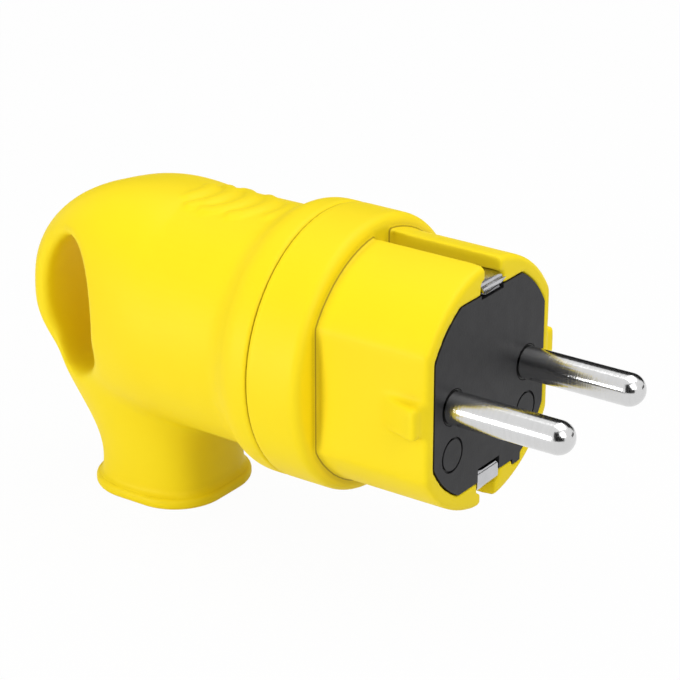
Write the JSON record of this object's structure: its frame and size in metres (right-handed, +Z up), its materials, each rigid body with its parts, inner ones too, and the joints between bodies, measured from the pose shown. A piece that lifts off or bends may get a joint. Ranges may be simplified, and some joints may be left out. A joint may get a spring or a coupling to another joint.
{
  "type": "angled earthed mains plug",
  "caption": "Angled two-pin mains plug with side earth contacts, a round rubber nose, and a rubber hood with a finger loop and a cable spout that points down.",
  "frame": {"origin": "centre of the plug's front face, between the pins", "axes": "+X out of the face along the pins, +Z up, away from the cable spout, +Y to the right seen from behind the plug"},
  "size_m": [0.0957, 0.0408, 0.0507],
  "materials": {
    "yellow_rubber": "satin",
    "grey_plastic": "satin",
    "nickel": "polished",
    "zinc_steel": "satin"
  },
  "bodies": {
    "root": {"rear_hood": "yellow_rubber", "front_shell": "yellow_rubber", "contact_carrier": "grey_plastic", "earth_strip": "nickel", "earth_clamp_plate": "zinc_steel", "earth_terminal_screw": "zinc_steel", "cable_clamp_bar": "grey_plastic", "line_pin": "nickel", "neutral_pin": "nickel", "line_terminal_screw": "zinc_steel", "neutral_terminal_screw": "zinc_steel", "cable_clamp_screw_near": "zinc_steel", "cable_clamp_screw_far": "zinc_steel"}
  },
  "joints": []
}
